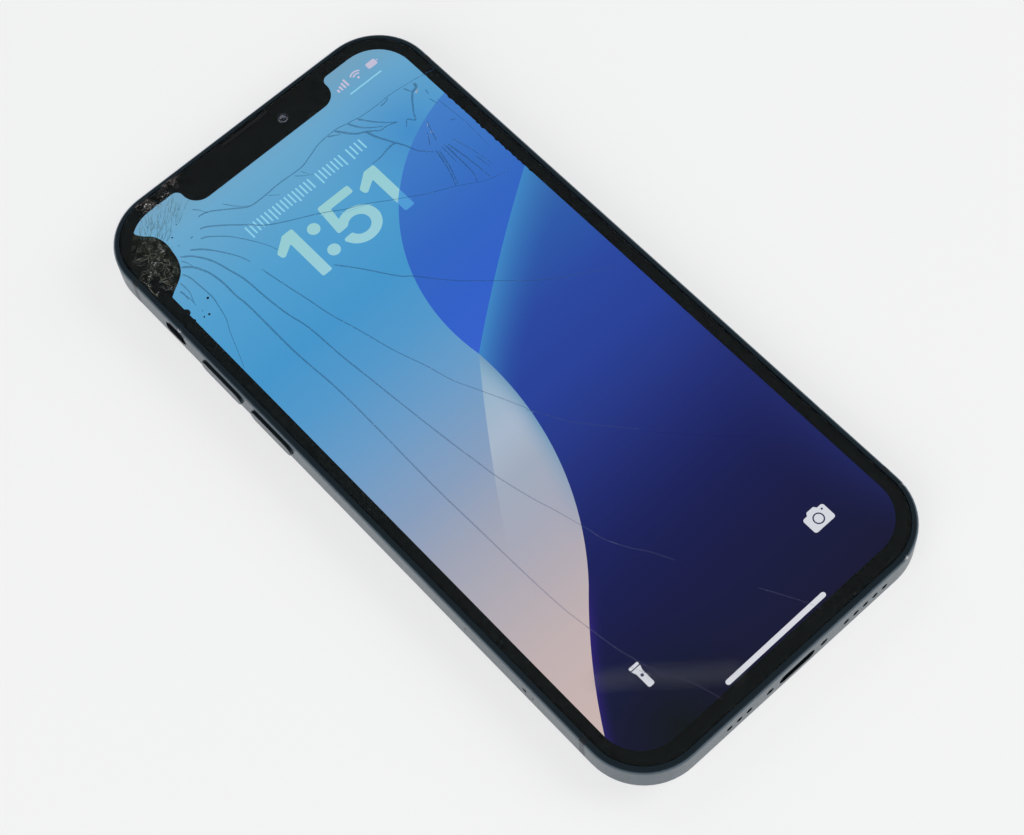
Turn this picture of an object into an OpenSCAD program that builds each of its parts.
// Flat-sided touch-screen phone lying screen up, its cover glass shattered from one corner.
// Millimetres. Origin under the middle of the body at the lowest point, the rear lens rings.
// +X to the right of the screen, +Y to its top edge, +Z out of the screen.

/* [Body] */
// Width of the body over its flat sides
body_w = 71.5; // [66:0.1:90]
// Length of the body
body_l = 146.7; // [146:0.1:170]
// Thickness of the body without the camera plateau
body_t = 7.4; // [7.2:0.1:10]
// Radius of the body's corners, seen from the front
corner_r = 11.8; // [9:0.1:14]
// Rounding of the metal band's long edges
edge_r = 0.9; // [0.4:0.05:1]
// Thickness of the metal band's wall
wall = 2.15; // [2:0.05:2.5]
// Width of the metal rim round each glass
rim_w = 1.2; // [1.1:0.05:1.4]
// Gap between a glass and its rim
glass_gap = 0.1; // [0.05:0.01:0.2]
// Thickness of the plate between the battery and the back glass
mid_t = 0.5; // [0.4:0.05:0.8]
// Width of the plastic splits in the band
split_w = 1.3; // [0.8:0.1:2]

/* [Screen] */
// Thickness of the cover glass
glass_t = 0.8; // [0.5:0.05:1]
// Rounding of the cover glass's upper edge
glass_edge_r = 0.45; // [0.1:0.05:0.45]
// How far the cover glass stands above the rim
glass_proud = 0.15; // [0:0.05:0.3]
// Thickness of the display panel
panel_t = 1.05; // [0.6:0.05:1.2]
// Gap between the panel and the band's inner wall
panel_gap = 0.5; // [0.3:0.05:0.8]
// Width of the notch at the top of the screen
notch_w = 34.8; // [30:0.1:40]
// Height of the notch, from the body's top edge
notch_h = 8.5; // [8.3:0.1:9]
// Radius of the notch's lower corners
notch_r = 2.8; // [1:0.1:3]
// Length of the earpiece slot
earpiece_slot_l = 11; // [8:0.5:14]
// Height of the earpiece slot
earpiece_slot_h = 0.9; // [0.6:0.1:0.9]

/* [Damage] */
// Width of a crack at the glass surface
crack_w = 0.06; // [0.03:0.01:0.12]
// Depth of a crack
crack_depth = 0.15; // [0.05:0.05:0.3]
// Depth of the chips along the glass edge
chip_depth = 0.3; // [0.1:0.05:0.4]

/* [Back] */
// Thickness of the back glass
back_t = 0.85; // [0.6:0.05:1]
// Side of the square camera plateau
plateau_w = 28.4; // [26:0.1:32]
// Corner radius of the plateau
plateau_r = 7.6; // [5:0.1:9]
// Height of the plateau above the back
plateau_h = 1; // [0.8:0.1:1.2]
// Distance from the plateau to the body's side and top edges
plateau_inset = 3.9; // [3.5:0.1:6]
// Outer radius of a lens ring
ring_r = 6.7; // [6.2:0.1:7]
// Radius of the window in a lens ring
lens_r = 5.5; // [4.5:0.1:5.6]
// Height of a lens ring above the plateau
ring_h = 0.7; // [0.5:0.1:1]
// Distance between the two lens axes
lens_pitch = 14; // [14:0.1:14.4]
// Radius of the flash window
flash_r = 2.85; // [2:0.05:3.2]

/* [Buttons] */
// Height of the button axes above the back face
button_h = 3.7; // [3.4:0.1:4.2]
// Width of a button across the band
button_w = 2.9; // [2:0.1:3.2]
// How far a button stands out of the band
button_proud = 0.5; // [0.3:0.05:0.6]
// Travel of a pressed button
button_travel = 0.3; // [0.1:0.05:0.3]
// Length of each volume button
volume_l = 11.2; // [8:0.1:12]
// Distance from the body's middle to the middle between the volume buttons
volume_y = 27.5; // [24:0.5:30]
// Distance between the two volume buttons' middles
volume_pitch = 13.9; // [13:0.1:15]
// Length of the side button
side_l = 16.6; // [12:0.1:20]
// Distance from the body's middle to the side button's middle
side_y = 25; // [10:0.5:30]
// Length of the recess round the ringer switch
ringer_l = 5.7; // [5:0.1:7]
// Height of that recess across the band
ringer_h = 3.3; // [2.8:0.1:3.6]
// How far the ringer switch stands out of the band
ringer_proud = 0.3; // [0:0.05:0.5]
// Distance from the body's middle to the ringer switch's middle
ringer_y = 48; // [46:0.5:52]
// Gap round each button
button_gap = 0.1; // [0.05:0.01:0.15]

/* [SIM tray] */
// Length of the tray's door
door_l = 17; // [16:0.1:18]
// Height of the door across the band
door_h = 2.4; // [2:0.1:2.6]
// Distance from the body's middle down to the door's middle
tray_y = 39; // [36:0.5:44]
// Width of the tray behind the door
tray_w = 12.8; // [12:0.1:12.8]
// Depth of the tray from the outside of the band
tray_l = 15.3; // [14:0.1:16]
// Thickness of the tray
tray_t = 1.1; // [0.8:0.1:1.2]

/* [Bottom edge] */
// Height of the port, screw and sound-hole axes above the back face
port_h = 3.5; // [3.3:0.1:3.8]
// Width of the charging port
port_w = 8.2; // [7.6:0.1:9]
// Height of the charging port's opening
port_t = 2.7; // [2.2:0.1:2.9]
// Depth of the charging port
port_depth = 8.5; // [7:0.1:9]
// Radius of a sound hole
hole_r = 0.65; // [0.4:0.05:0.8]
// Distance between neighbouring sound holes
hole_pitch = 2.28; // [1.9:0.01:2.5]
// Number of microphone holes on the left
mic_holes = 3; // [1:1:4]
// Number of loudspeaker holes on the right
speaker_holes = 5; // [3:1:6]
// Distance from the middle to each bottom screw
screw_x = 6.3; // [6:0.1:7]

/* [Battery and charging coil] */
// Width of the battery
battery_w = 38.2; // [30:0.1:38.2]
// Length of the battery
battery_l = 96; // [80:0.5:97]
// Thickness of the battery
battery_t = 3.6; // [3:0.1:3.7]
// Outer radius of the magnet ring
magnet_r = 27.2; // [25:0.1:29]
// Width of the magnet ring
magnet_w = 4.2; // [3:0.1:5]
// Outer radius of the charging coil
coil_r = 21; // [18:0.1:21]
// Radius of the hole in the charging coil
coil_hole_r = 8; // [6:0.1:12]

/* [Hidden] */
$fn = 48;
eps = 0.01;

// Heights, from the lens rings up
back_z = plateau_h + ring_h;
front_z = back_z + body_t;
rim_z = front_z - glass_proud;
mid_z = back_z + back_t;
floor_z = mid_z + mid_t;
glass_z = front_z - glass_t;
gasket_t = 0.1;
ledge_z = glass_z - gasket_t;
panel_z = glass_z - panel_t;
shield_t = 0.15;
shield_z = panel_z - shield_t;
button_z = back_z + button_h;
port_z = back_z + port_h;

// Outlines
half_w = body_w / 2;
half_l = body_l / 2;
glass_inset = rim_w + glass_gap;
glass_w = body_w - 2 * glass_inset;
glass_l = body_l - 2 * glass_inset;
glass_r = corner_r - glass_inset;
inner_x = half_w - wall;
inner_y = half_l - wall;
inner_r = corner_r - wall;
notch_y = half_l - notch_h;
slot_y = glass_l / 2 - 0.35 - earpiece_slot_h / 2;
slot_clear = 0.05;

// Camera plateau and what it carries
plateau_x = half_w - plateau_inset - plateau_w / 2;
plateau_y = half_l - plateau_inset - plateau_w / 2;
lens_x = plateau_x + 6.2;
lens_y = [plateau_y + lens_pitch / 2, plateau_y - lens_pitch / 2];
flash_x = plateau_x - 7.4;
rear_mic_y = plateau_y - 7;
collar_t = 0.35;
collar_r = lens_r + collar_t;
lens_gap = 0.05;
camera_w = 12.6;
camera_r = 1.6;
camera_gap = 0.3;
camera_rim = 0.3;
camera_side = lens_x - camera_w / 2 - camera_gap - camera_rim;
nose_r = lens_r - 0.3;
plateau_z = back_z - plateau_h;

// Buttons: cap, plunger and the dome that the plunger presses
recess_x = half_w - 1.25;
cap_x = recess_x + 0.05 + button_travel;
plunger_r = 0.8;
guide_r = 0.55;
guide_y = volume_l / 2 - 2;
dome_x = inner_x - 0.2;
plunger_x = dome_x + 0.05 + button_travel;
dome_t = 0.2;
flex_t = 0.15;
flex_x = dome_x - dome_t;
bracket_t = 0.4;
bracket_x = flex_x - flex_t;
bracket_h = 3;
ringer_gap = 0.1;
ringer_t = 1.9;
tab_l = ringer_l - ringer_h + ringer_t;
ringer_up = (ringer_h - ringer_t) / 2 - ringer_gap;
ringer_pin_r = 0.5;

// SIM tray, its reader and the eject lever behind it
door_t = 0.9;
door_gap = 0.1;
tray_edge = 1.1;
tray_x = half_w - door_t;
tray_end = half_w - tray_l;
tray_low = tray_y + door_l / 2 - 3.2;
tray_high = tray_low - tray_w;
rod_y = tray_y + door_l / 2 - 2.1;
rod_r = 0.4;
rod_travel = 1;
rod_clear = 0.1;
lever_w = 1.2;
lever_t = 0.8;
lever_arm = 6.9;
lever_end = 0.3;
lever_x = tray_end - 1.85;
rod_end = lever_x + lever_w / 2 + rod_clear;
lever_pin_r = 0.5;
lever_y = rod_y - lever_arm;
reader_t = 0.3;
reader_gap = 0.35;
reader_x = inner_x - 0.2;
reader_back = lever_x - lever_w / 2 - 1.1 * rod_travel - reader_gap - reader_t;

// Bottom edge
mic_x = -(11.1 + hole_pitch * (mic_holes - 1) / 2);
speaker_x = 11.6 + hole_pitch * (speaker_holes - 1) / 2;
screw_head_r = 0.75;
screw_head_t = 0.8;
screw_sunk = 0.15;
screw_r = 0.45;
shell_t = 0.4;
contact_w = 0.4;
contact_pitch = 0.7;
haptic_l = 9;
haptic_y = -inner_y + 1.7 + haptic_l / 2;

// Inside
seat = 0.1;
battery_x = bracket_x - bracket_t - 0.25 - battery_w / 2;
battery_y = 40 - battery_l / 2;
board_left = -(bracket_x - bracket_t) + 0.35;
board_right = battery_x - battery_w / 2 - 1.6;
board_low = -18;
board_high = notch_y - 1.9;
arm_low = 43;
arm_right = 2.5;
board_z = floor_z + 0.2;
board_t = 2.1;
board_top = board_z + board_t;
coil_y = -3;
coil_gap = 0.4;
coil_t = 0.3;
sensor_y = notch_y + 3.35;
sensor_top = glass_z - 0.05;
sensor_z = shield_z - 2.3;
sensor_left = -notch_w / 2 + 0.9;
sensor_right = camera_side - 0.45;
camera_x = 6.8;

// The struck corner: crack routes run from here, in x and y, each point chosen by hand
struck = [-glass_w / 2 + 4.3, glass_l / 2 - 12.25];
CRACKS = [
    [[10.5, 0.4], [13, -1.3], [16.5, -4.5], [19.5, -8], [22.7, -10], [27, -12.3], [32, -15.8],
     [36, -17.4], [40, -20.3], [45, -23.5], [50, -26], [55, -29], [60, -30.2], [65, -31]],
    [[11, 2.4], [13, 2.4], [17, 0], [20, -2.1], [23, -3], [27, -2.8], [32, -3], [35, -2.2],
     [38, -1.1], [42.5, -0.7], [45, -1.2], [48, -2], [52, -2.2], [55, -2], [60, -2.6], [65, -4.5]],
    [[6.3, -1.8], [9, -4.7], [11.8, -9]],
    [[3.8, -1.5], [6, -3.5], [8, -7], [9.2, -10.5], [9.8, -15], [9.9, -20], [10.5, -25],
     [11.5, -30], [12, -38], [12.7, -45], [13.6, -54]],
    [[2.7, -3.6], [4.5, -6], [5.7, -9], [6.3, -13], [6.5, -20], [6.5, -30], [6.7, -35],
     [7.2, -42], [7.3, -51], [8, -80], [9, -115], [15, -129]],
    [[1.7, -5], [2.6, -7.5], [2.9, -10.5], [2.6, -14], [1.5, -18.5], [-0.5, -24], [-2, -28]],
    [[8, -0.3], [12, -4], [15, -8], [17, -11.5], [17.7, -13.5]],
    [[13, -14.5], [14, -20], [15, -25], [16, -30.5], [17.5, -36], [19.5, -44], [21.5, -52],
     [23, -55], [25, -61], [27, -66], [30, -71], [34, -77], [40, -85], [48, -94], [57, -103]],
    [[23, -23], [26, -27], [30, -33], [32, -35], [36, -40], [41, -45], [48, -51.5], [54, -55.5],
     [60, -59]],
    [[41.5, -0.8], [43, -2.8], [44.5, -4.5], [46, -5.4], [48, -6.7], [50, -7], [51.5, -7.5]],
    [[46, -5.5], [47, -8], [47.8, -9.8], [48.7, -11.5], [49.5, -13.5], [50, -15], [52.5, -17.5]],
    [[59.3, -3.7], [57, -5.5], [55.5, -8], [54.4, -9.4], [53.3, -8.5], [51.5, -10]],
    [[52.8, -17.2], [51.5, -23], [50, -26]],
    [[54.2, -17], [54.3, -24], [53.3, -27.5]],
    [[55.5, -18], [55.8, -25], [56, -29]]];
CHIPS = [
    [[5, 13], [6.5, 9.5], [8, 9.8], [8.6, 12], [7.5, 13]],
    [[11, 11.5], [13, 10.8], [15, 11.7], [14, 13], [11.8, 13]],
    [[-5, -9], [-2.9, -11], [-3, -12.3], [-5, -12.8]]];

// ---- Shared shapes ----

// Rounded rectangle with a corner radius
module plan(w, l, r) {
    square([w - 2 * r, l], center = true);
    square([w, l - 2 * r], center = true);
    for (x = [-1, 1], y = [-1, 1]) translate([x * (w / 2 - r), y * (l / 2 - r)]) circle(r);
}

module plate(w, l, r, z, t) {
    translate([0, 0, z]) linear_extrude(t) plan(w, l, r);
}

// Rounded-rectangle solid whose edge follows the section drawn by its child,
// from x = 0 at the corner centres out to x = r
module edged(w, l, r) {
    for (a = [0, 180]) rotate([0, 0, a]) {
        translate([w / 2 - r, l / 2 - r, 0]) rotate_extrude(angle = 90) children();
        translate([r - w / 2, l / 2 - r, 0]) rotate([0, 0, 90]) rotate_extrude(angle = 90) children();
        translate([w / 2 - r, 0, 0]) rotate([90, 0, 0])
            linear_extrude(l - 2 * r, center = true) children();
        translate([0, l / 2 - r, 0]) rotate([0, 0, 90]) rotate([90, 0, 0])
            linear_extrude(w - 2 * r, center = true) children();
    }
}

// Section with its lower and upper outer corners rounded
module section(r, z0, z1, low, high) {
    difference() {
        translate([0, z0]) square([r, z1 - z0]);
        translate([r - low, z0]) square([low, low]);
        translate([r - high, z1 - high]) square([high, high]);
    }
    intersection() {
        translate([r - low, z0 + low]) circle(low);
        translate([r - low, z0]) square([low, low]);
    }
    intersection() {
        translate([r - high, z1 - high]) circle(high);
        translate([r - high, z1 - high]) square([high, high]);
    }
}

// Closed plate with rounded upper and lower edges
module rounded_plate(w, l, r, z0, z1, low, high) {
    edged(w, l, r) section(r, z0, z1, low, high);
    translate([r - w / 2, r - l / 2, z0]) cube([w - 2 * r, l - 2 * r, z1 - z0]);
}

// Slot outline with round ends, along x
module slot(l, h) {
    square([l - h, h], center = true);
    for (x = [-1, 1]) translate([x * (l - h) / 2, 0]) circle(h / 2);
}

// Slot solid running along X from x0 to x1, long along Y, centred on [y, z]
module side_slot(x0, x1, y, z, l, h) {
    translate([x0, y, z]) rotate([90, 0, 90]) linear_extrude(x1 - x0) slot(l, h);
}

// Slot solid running along Y from y0 to y1, long along X
module end_slot(y0, y1, x, z, l, h) {
    translate([x, y1, z]) rotate([90, 0, 0]) linear_extrude(y1 - y0) slot(l, h);
}

module along_x(x0, x1, y, z, r) {
    translate([x0, y, z]) rotate([0, 90, 0]) cylinder(r = r, h = x1 - x0);
}

module along_y(y0, y1, x, z, r) {
    translate([x, y0, z]) rotate([-90, 0, 0]) cylinder(r = r, h = y1 - y0);
}

// Box from low and high corners
module span(low, high) {
    translate(low) cube(high - low);
}

function unit(v) = v / norm(v);
function left_of(v) = [-v[1], v[0]];
function heading(p, i) =
    unit(unit(p[min(i + 1, len(p) - 1)] - p[max(i - 1, 0)]));
function taper(i, n) = 0.4 + 0.6 * sin(180 * (i + 0.6) / (n + 0.2));

// Narrow strip along a route, thinning towards both ends
module strip(p, w) {
    n = len(p);
    side = [for (i = [0:n - 1]) left_of(heading(p, i)) * w / 2 * taper(i, n)];
    polygon(concat([for (i = [0:n - 1]) p[i] + side[i]],
                   [for (i = [n - 1:-1:0]) p[i] - side[i]]));
}

// ---- Screen ----

module notch_plan(grow) {
    translate([0, half_l]) plan(notch_w + 2 * grow, 2 * (notch_h + grow), notch_r + grow);
}

module damage() {
    translate([struck[0], struck[1], front_z - crack_depth]) linear_extrude(crack_depth + eps)
        for (route = CRACKS) strip(route, crack_w);
    translate([struck[0], struck[1], front_z - chip_depth]) linear_extrude(chip_depth + eps)
        for (outline = CHIPS) polygon(outline);
}

module cover_glass() {
    color("#10151c") difference() {
        rounded_plate(glass_w, glass_l, glass_r, glass_z, front_z, 0.1, min(glass_edge_r, glass_t - 0.2));
        translate([0, slot_y, glass_z - eps]) linear_extrude(glass_t + 2 * eps)
            slot(earpiece_slot_l, earpiece_slot_h);
        damage();
    }
}

module display_gasket() {
    edge = 0.15;
    color("#16181a") difference() {
        plate(glass_w - 2 * edge, glass_l - 2 * edge, glass_r - edge, ledge_z, gasket_t);
        plate(2 * inner_x + 2 * edge, 2 * inner_y + 2 * edge, inner_r + edge, ledge_z - eps, 1);
        span([-earpiece_slot_l / 2 - 0.5, inner_y - 1, ledge_z - eps],
             [earpiece_slot_l / 2 + 0.5, half_l, glass_z + eps]);
    }
}

module panel_plan(inset) {
    difference() {
        plan(2 * (inner_x - inset), 2 * (inner_y - inset), inner_r - inset);
        notch_plan(inset - panel_gap);
    }
}

module display_panel() {
    color("#2f6fb0") translate([0, 0, panel_z]) linear_extrude(panel_t) panel_plan(panel_gap);
}

module display_shield() {
    color("#9a9da0") translate([0, 0, shield_z]) linear_extrude(shield_t)
        panel_plan(panel_gap + 1);
}

module display_flex() {
    bend_x = arm_right + 2;
    low = board_top + 1.3;
    color("#7a5a2a") {
        span([-3, 47, low], [bend_x, 52, low + flex_t]);
        span([bend_x, 47, low], [bend_x + flex_t, 52, shield_z]);
        span([bend_x + flex_t, 47, shield_z - flex_t], [bend_x + 6, 52, shield_z]);
    }
}

module earpiece_mesh() {
    color("#202224") translate([0, slot_y, glass_z]) linear_extrude(glass_t - 0.3)
        slot(earpiece_slot_l - 2 * slot_clear, earpiece_slot_h - 2 * slot_clear);
}

// ---- Sensors behind the notch ----

module earpiece_speaker() {
    color("#303236") {
        span([-5.2, sensor_y - 2.4, sensor_z], [3.8, sensor_y + 2.4, shield_z - 0.6]);
        span([-4.4, sensor_y + 2.4 - eps, shield_z - 1.6],
             [3, inner_y - 0.1, shield_z - 0.6]);
    }
}

// Round camera on a square base, looking up through the glass
module up_camera(x, r) {
    span([x - r - 0.2, sensor_y - r, sensor_z], [x + r + 0.2, sensor_y + r, shield_z]);
    translate([x, sensor_y, shield_z - eps]) cylinder(r = r - 0.2, h = sensor_top - shield_z);
}

module front_camera() {
    color("#1b1d22") up_camera(camera_x, 2.4);
}

module infrared_camera() {
    color("#1b1d22") up_camera(-13, 2.4);
}

module dot_projector() {
    color("#25272b") {
        span([10, sensor_y - 2.3, sensor_z], [15.4, sensor_y + 2.3, shield_z]);
        span([10.8, sensor_y - 1.5, shield_z - eps], [14.6, sensor_y + 1.5, sensor_top]);
    }
}

module flood_illuminator() {
    color("#25272b") span([-9.4, sensor_y - 1.6, sensor_z], [-6, sensor_y + 1.6, sensor_top]);
}

module light_sensor() {
    color("#2d3036") span([1, sensor_y - 1, shield_z - 0.6], [3.4, sensor_y + 1, sensor_top]);
}

module proximity_sensor() {
    color("#2d3036") span([-4.2, sensor_y - 1, shield_z - 0.6], [-1, sensor_y + 1, sensor_top]);
}

module sensor_bracket() {
    color("#a8abad") span([sensor_left, sensor_y - 2.6, sensor_z - 0.2],
                          [sensor_right, sensor_y + 2.6, sensor_z]);
}

// ---- Metal band ----

module band_body() {
    difference() {
        rounded_plate(body_w, body_l, corner_r, back_z + glass_proud, rim_z, edge_r, edge_r);
        plate(2 * inner_x, 2 * inner_y, inner_r, floor_z, body_t);
        plate(glass_w + 2 * glass_gap, glass_l + 2 * glass_gap, glass_r + glass_gap, ledge_z, body_t);
        plate(glass_w + 2 * glass_gap, glass_l + 2 * glass_gap, glass_r + glass_gap, 0, mid_z);
    }
}

// The four splits, as boxes through the band's side walls
module split_boxes() {
    for (x = [-1, 1], y = [-1, 1])
        translate([x * (inner_x + wall / 2), y * (half_l - 14), back_z + body_t / 2])
            cube([wall + 2 * eps, split_w, body_t + 2], center = true);
}

module press_cut(y, l, sides) {
    side_slot(recess_x, half_w + 1, y, button_z, l + 2 * button_gap, button_w + 2 * button_gap);
    along_x(inner_x - 1, half_w, y, button_z, plunger_r + button_gap);
    for (s = [-1, 1]) along_x(inner_x - 1, half_w, y + s * sides, button_z, guide_r + button_gap);
}

module ringer_cut() {
    side_slot(-half_w - 1, -recess_x, ringer_y, button_z, ringer_l, ringer_h);
    translate([-half_w, ringer_y, button_z]) rotate([0, 90, 0])
        linear_extrude(wall + 1) slot(ringer_h - 0.7, 2 * (ringer_pin_r + ringer_gap));
}

module sim_cut() {
    side_slot(-half_w - 1, -tray_x + 0.05, -tray_y, button_z, door_l + 2 * door_gap,
              door_h + 2 * door_gap);
    span([-half_w, -tray_low - 0.2, button_z - tray_t / 2 - 0.15],
         [-inner_x + 1, -tray_high + 0.2, button_z + tray_t / 2 + 0.15]);
    along_x(-half_w, -inner_x + 1, -rod_y, button_z, rod_r + rod_clear);
}

module bottom_cuts() {
    end_slot(-half_l - 1, -inner_y + 1, 0, port_z, port_w, port_t);
    for (i = [0:mic_holes - 1])
        along_y(-half_l - 1, -inner_y + 1, mic_x + hole_pitch * (i - (mic_holes - 1) / 2),
                port_z, hole_r);
    for (i = [0:speaker_holes - 1])
        along_y(-half_l - 1, -inner_y + 1, speaker_x + hole_pitch * (i - (speaker_holes - 1) / 2),
                port_z, hole_r);
    for (x = [-screw_x, screw_x]) {
        along_y(-half_l - 1, -half_l + screw_sunk + screw_head_t, x, port_z, screw_head_r + 0.05);
        along_y(-half_l - 1, -inner_y + 1, x, port_z, screw_r + 0.05);
    }
}

module plate_cuts() {
    translate([0, coil_y, mid_z - 1]) cylinder(r = magnet_r + coil_gap, h = mid_t + 2);
    for (y = lens_y) translate([lens_x, y, mid_z - 1]) cylinder(r = collar_r + 0.1, h = mid_t + 2);
    translate([flash_x, plateau_y, mid_z - 1]) cylinder(r = flash_r + 0.1, h = mid_t + 2);
    translate([flash_x, rear_mic_y, mid_z - 1]) cylinder(r = 1.7, h = mid_t + 2);
}

module housing_frame() {
    color("#3a4650") difference() {
        band_body();
        split_boxes();
        for (y = volume_places()) mirror([1, 0, 0]) press_cut(y, volume_l, guide_y);
        press_cut(side_y, side_l, side_l / 2 - 2);
        ringer_cut();
        sim_cut();
        bottom_cuts();
        plate_cuts();
    }
}

module antenna_splits() {
    color("#2f3942") intersection() {
        band_body();
        split_boxes();
    }
}

// ---- Back ----

module back_glass() {
    color("#1f2c3a") difference() {
        union() {
            rounded_plate(glass_w, glass_l, glass_r, back_z, mid_z, min(glass_edge_r, back_t - 0.2), 0.1);
            translate([plateau_x, plateau_y, 0])
                rounded_plate(plateau_w, plateau_w, plateau_r, plateau_z, back_z + 0.3, 0.45, 0.1);
        }
        for (y = lens_y) translate([lens_x, y, 0]) cylinder(r = collar_r + lens_gap, h = mid_z + 1);
        translate([flash_x, plateau_y, 0]) cylinder(r = flash_r + lens_gap, h = mid_z + 1);
        translate([flash_x, rear_mic_y, 0]) cylinder(r = 0.6, h = mid_z + 1);
    }
}

module lens_rings() {
    round_r = 0.35;
    color("#2c3640") for (y = lens_y) translate([lens_x, y, 0]) rotate_extrude() {
        translate([lens_r + lens_gap, 0]) square([ring_r - round_r - lens_r - lens_gap, ring_h]);
        translate([ring_r - round_r, round_r]) square([round_r, ring_h - round_r]);
        translate([ring_r - round_r, round_r]) circle(round_r);
        translate([lens_r + lens_gap, ring_h]) square([collar_t - lens_gap, mid_z - ring_h]);
    }
}

module lens_windows() {
    color("#0c0f14") for (y = lens_y) translate([lens_x, y, 0.2]) cylinder(r = lens_r, h = 0.6);
}

module rear_camera(y) {
    translate([lens_x, y, 0.95]) cylinder(r = nose_r, h = floor_z - 0.95 + eps);
    translate([lens_x, y, 0]) plate(camera_w, camera_w, camera_r, floor_z, 3.6);
}

module wide_camera() {
    color("#24272c") rear_camera(lens_y[0]);
}

module ultra_wide_camera() {
    color("#24272c") rear_camera(lens_y[1]);
}

module camera_bracket() {
    w = camera_w + 2 * camera_gap;
    l = w + lens_pitch;
    color("#b0b3b5") translate([lens_x, plateau_y, 0]) difference() {
        plate(w + 2 * camera_rim, l + 2 * camera_rim, camera_r + camera_gap + camera_rim, floor_z, 3.7);
        plate(w, l, camera_r + camera_gap, floor_z - eps, 4);
    }
}

module flash_window() {
    color("#e8e4cc") translate([flash_x, plateau_y, plateau_z]) cylinder(r = flash_r, h = 0.8);
}

module flash_module() {
    color("#c9b25a") translate([flash_x, plateau_y, plateau_z + 0.85])
        cylinder(r = flash_r - 0.1, h = floor_z + 0.6 - plateau_z - 0.85);
}

module rear_microphone() {
    color("#8d8f92") translate([flash_x, rear_mic_y, mid_z]) cylinder(r = 1.6, h = mid_t + 0.7);
}

// ---- Battery and boards ----

module battery() {
    color("#18191b") translate([battery_x, battery_y, 0])
        rounded_plate(battery_w, battery_l, 2, floor_z + seat, floor_z + seat + battery_t, 0.6, 0.6);
}

module battery_adhesive() {
    color("#e4e4df") for (x = [-1.5, -0.5, 0.5, 1.5])
        translate([battery_x + x * battery_w / 4 - 3, battery_y - battery_l / 2 + 2, floor_z])
            cube([6, battery_l - 4, seat]);
}

module battery_flex() {
    color("#7a5a2a") span([board_right - 4, 2, board_top],
                          [battery_x - battery_w / 2, 8, board_top + flex_t]);
}

SCREW_PLACES = [[board_left + 1.8, board_low + 2.5], [board_right - 1.8, board_low + 2.5],
                [board_left + 1.8, board_high - 3], [arm_right - 2, board_high - 2.5]];

module logic_board() {
    color("#1f4a33") translate([0, 0, board_z]) linear_extrude(board_t) difference() {
        polygon([[board_left, board_low], [board_right, board_low], [board_right, arm_low],
                 [arm_right, arm_low], [arm_right, board_high], [board_left, board_high]]);
        for (p = SCREW_PLACES) translate(p) circle(0.6);
    }
}

module board_shields() {
    can_l = 19.5;
    can_gap = 1.5;
    color("#b9bbbd") for (i = [0:2])
        translate([(board_left + board_right - 5) / 2, board_low + 5 + i * (can_l + can_gap) + can_l / 2, 0])
            plate(board_right - board_left - 9, can_l, 1, board_top, 1.2);
}

module connector_cover() {
    color("#a8abad") span([board_right + 1.5, arm_low + 2, board_top],
                          [arm_right - 0.8, board_high - 5, board_top + 1.2]);
}

module board_screws() {
    color("#8a8d90") for (p = SCREW_PLACES) translate([p[0], p[1], 0]) {
        translate([0, 0, floor_z]) cylinder(r = 0.5, h = board_top - floor_z + eps);
        translate([0, 0, board_top]) cylinder(r = 1, h = 0.4);
    }
}

module upper_antenna() {
    color("#2a2c2f") span([-25, notch_y - 1, floor_z], [-18, inner_y - 1.2, floor_z + 3.4]);
}

// ---- SIM tray and its reader ----

module sim_reader() {
    low = -(rod_y + rod_r + reader_gap + reader_t);
    high = -tray_high + reader_gap + reader_t;
    hollow_z = button_z - tray_t / 2 - 0.1;
    color("#a2a5a8") difference() {
        span([-reader_x, low, floor_z], [-reader_back, high, button_z + tray_t / 2 + 0.4]);
        span([-reader_x - 1, low + reader_t, hollow_z],
             [-reader_back - reader_t, high - reader_t, button_z + tray_t / 2 + 0.1]);
    }
    color("#a2a5a8") translate([-lever_x, -lever_y, hollow_z - eps])
        cylinder(r = lever_pin_r, h = tray_t + 0.15);
}

module sim_tray() {
    color("#3a4650") difference() {
        union() {
            side_slot(-half_w, -tray_x, -tray_y, button_z, door_l, door_h);
            span([-tray_x - eps, -tray_low, button_z - tray_t / 2],
                 [-tray_end, -tray_high, button_z + tray_t / 2]);
        }
        span([-tray_x + 2.2, -tray_low + tray_edge, button_z - tray_t],
             [-tray_end - tray_edge, -tray_high - tray_edge, button_z + tray_t]);
        along_x(-half_w - 1, -tray_x + 1, -rod_y, button_z, rod_r + rod_clear);
    }
}

module eject_rod() {
    color("#c2c4c6") along_x(-inner_x - 0.6, -rod_end, -rod_y, button_z, rod_r);
}

module eject_lever() {
    color("#c2c4c6") translate([-lever_x, -lever_y, button_z - lever_t / 2]) difference() {
        union() {
            translate([-lever_w / 2, -lever_arm - lever_end, 0])
                cube([lever_w, 2 * (lever_arm + lever_end), lever_t]);
            cylinder(r = lever_w * 0.9, h = lever_t);
        }
        translate([0, 0, -eps]) cylinder(r = lever_pin_r + 0.05, h = lever_t + 2 * eps);
    }
}

// ---- Bottom edge ----

module haptic_motor() {
    color("#6f7275") translate([-18.9, haptic_y, 0]) plate(21.2, haptic_l, 3, floor_z, 3.5);
}

module loudspeaker() {
    duct = hole_pitch * speaker_holes;
    color("#1d1f21") {
        translate([19, -inner_y + 7.7, 0]) plate(22, 12, 3, floor_z, 3.6);
        span([speaker_x - duct / 2, -inner_y + 0.3, port_z - 1],
             [speaker_x + duct / 2, -inner_y + 1.8, port_z + 1]);
    }
}

module speaker_mesh() {
    duct = hole_pitch * speaker_holes;
    color("#0e0f10") span([speaker_x - duct / 2, -inner_y, port_z - 1],
                          [speaker_x + duct / 2, -inner_y + 0.25, port_z + 1]);
}

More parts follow.
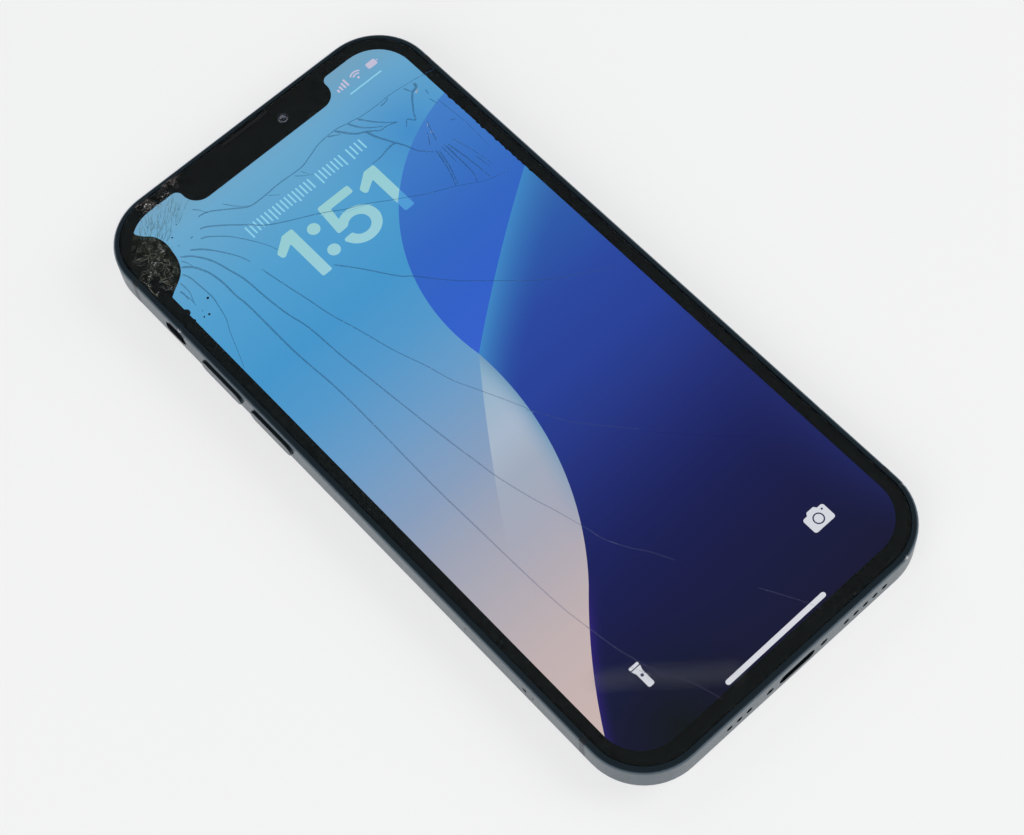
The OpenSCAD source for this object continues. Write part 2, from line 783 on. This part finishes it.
module bottom_microphone() {
    duct = hole_pitch * mic_holes;
    color("#0e0f10") span([mic_x - duct / 2, -inner_y, port_z - 1],
                          [mic_x + duct / 2, -inner_y + 1.4, port_z + 1]);
}

module charge_port() {
    w = port_w + 2 * shell_t;
    color("#7d8083") difference() {
        span([-w / 2, -inner_y, port_z - port_t / 2 - shell_t],
             [w / 2, -half_l + port_depth + shell_t, port_z + port_t / 2 + shell_t]);
        end_slot(-half_l, -half_l + port_depth, 0, port_z, port_w, port_t);
    }
}

module port_contacts() {
    color("#c8a24a") for (i = [0:7])
        translate([contact_pitch * (i - 3.5) - contact_w / 2, -half_l + 3.4, port_z - port_t / 2])
            cube([contact_w, port_depth - 3.4, 0.25]);
}

module port_flex() {
    low = -half_l + port_depth - 3;
    bend = haptic_y + haptic_l / 2 + 0.4;
    w = 3.4;
    color("#7a5a2a") translate([0, 0, floor_z]) linear_extrude(flex_t)
        polygon([[-3, low], [3, low], [3, bend + w], [board_right - 1, bend + w],
                 [board_right - 1, board_low + 1], [board_right - 1 - w, board_low + 1],
                 [board_right - 1 - w, bend], [-3, bend]]);
}

module bottom_screws() {
    head_y = -half_l + screw_sunk;
    color("#5a646e") for (x = [-screw_x, screw_x]) difference() {
        union() {
            along_y(head_y, head_y + screw_head_t, x, port_z, screw_head_r);
            along_y(head_y + screw_head_t - eps, -inner_y + 0.6, x, port_z, screw_r);
        }
        translate([x, head_y - eps, port_z]) rotate([-90, 0, 0])
            cylinder(r = 0.35, h = 0.3, $fn = 5);
    }
}

// ---- Charging coil ----

module ring(r, hole, z, t) {
    translate([0, coil_y, z]) difference() {
        cylinder(r = r, h = t);
        translate([0, 0, -eps]) cylinder(r = hole, h = t + 2 * eps);
    }
}

module charging_coil() {
    color("#b4693a") ring(coil_r, coil_hole_r, mid_z, coil_t);
}

module coil_shield() {
    color("#3c3d40") translate([0, coil_y, mid_z + coil_t])
        cylinder(r = coil_r + 0.6, h = mid_t - coil_t);
}

module magnet_ring() {
    color("#8f9295") ring(magnet_r, magnet_r - magnet_w, mid_z, mid_t);
}

// ---- Buttons ----

function volume_places() = [volume_y + volume_pitch / 2, volume_y - volume_pitch / 2];

// Button on the +X side: cap, plunger and two guide pins
module press_button(y, l, sides) {
    side_slot(cap_x, half_w + button_proud, y, button_z, l, button_w);
    along_x(plunger_x, cap_x + eps, y, button_z, plunger_r);
    for (s = [-1, 1]) along_x(plunger_x, cap_x + eps, y + s * sides, button_z, guide_r);
}

module volume_up_button() {
    color("#222a31") mirror([1, 0, 0]) press_button(volume_places()[0], volume_l, guide_y);
}

module volume_down_button() {
    color("#222a31") mirror([1, 0, 0]) press_button(volume_places()[1], volume_l, guide_y);
}

module side_button() {
    color("#222a31") press_button(side_y, side_l, side_l / 2 - 2);
}

module ringer_switch() {
    color("#222a31") {
        side_slot(-half_w - ringer_proud, -recess_x - 0.1, ringer_y, button_z + ringer_up,
                  tab_l, ringer_t);
        along_x(-recess_x - 0.1 - eps, -inner_x + 0.1, ringer_y, button_z + ringer_up, ringer_pin_r);
    }
}

// Flat cable behind a row of buttons, with a dome under each plunger
module dome_flex(y0, y1, places) {
    span([flex_x - flex_t, y0, button_z - bracket_h / 2], [flex_x, y1, button_z + bracket_h / 2]);
    for (y = places) along_x(flex_x - eps, dome_x, y, button_z, 1.3);
}

module left_button_flex() {
    color("#7a5a2a") mirror([1, 0, 0]) dome_flex(volume_y - 14, ringer_y + 4, volume_places());
}

module right_button_flex() {
    color("#7a5a2a") dome_flex(side_y - 6, side_y + 6, [side_y]);
}

module button_brackets() {
    z0 = button_z - bracket_h / 2;
    z1 = button_z + bracket_h / 2;
    color("#a8abad") {
        span([bracket_x - bracket_t, side_y - 9, z0], [bracket_x, side_y + 9, z1]);
        mirror([1, 0, 0]) span([bracket_x - bracket_t, volume_y - 14, z0], [bracket_x, ringer_y + 4, z1]);
    }
}

cover_glass();
display_gasket();
display_panel();
display_shield();
display_flex();
earpiece_mesh();
earpiece_speaker();
front_camera();
infrared_camera();
dot_projector();
flood_illuminator();
light_sensor();
proximity_sensor();
sensor_bracket();
housing_frame();
antenna_splits();
back_glass();
lens_rings();
lens_windows();
wide_camera();
ultra_wide_camera();
camera_bracket();
flash_window();
flash_module();
rear_microphone();
battery();
battery_adhesive();
battery_flex();
logic_board();
board_shields();
connector_cover();
board_screws();
upper_antenna();
sim_reader();
sim_tray();
eject_rod();
eject_lever();
haptic_motor();
loudspeaker();
speaker_mesh();
bottom_microphone();
charge_port();
port_contacts();
port_flex();
bottom_screws();
charging_coil();
coil_shield();
magnet_ring();
volume_up_button();
volume_down_button();
side_button();
ringer_switch();
left_button_flex();
right_button_flex();
button_brackets();
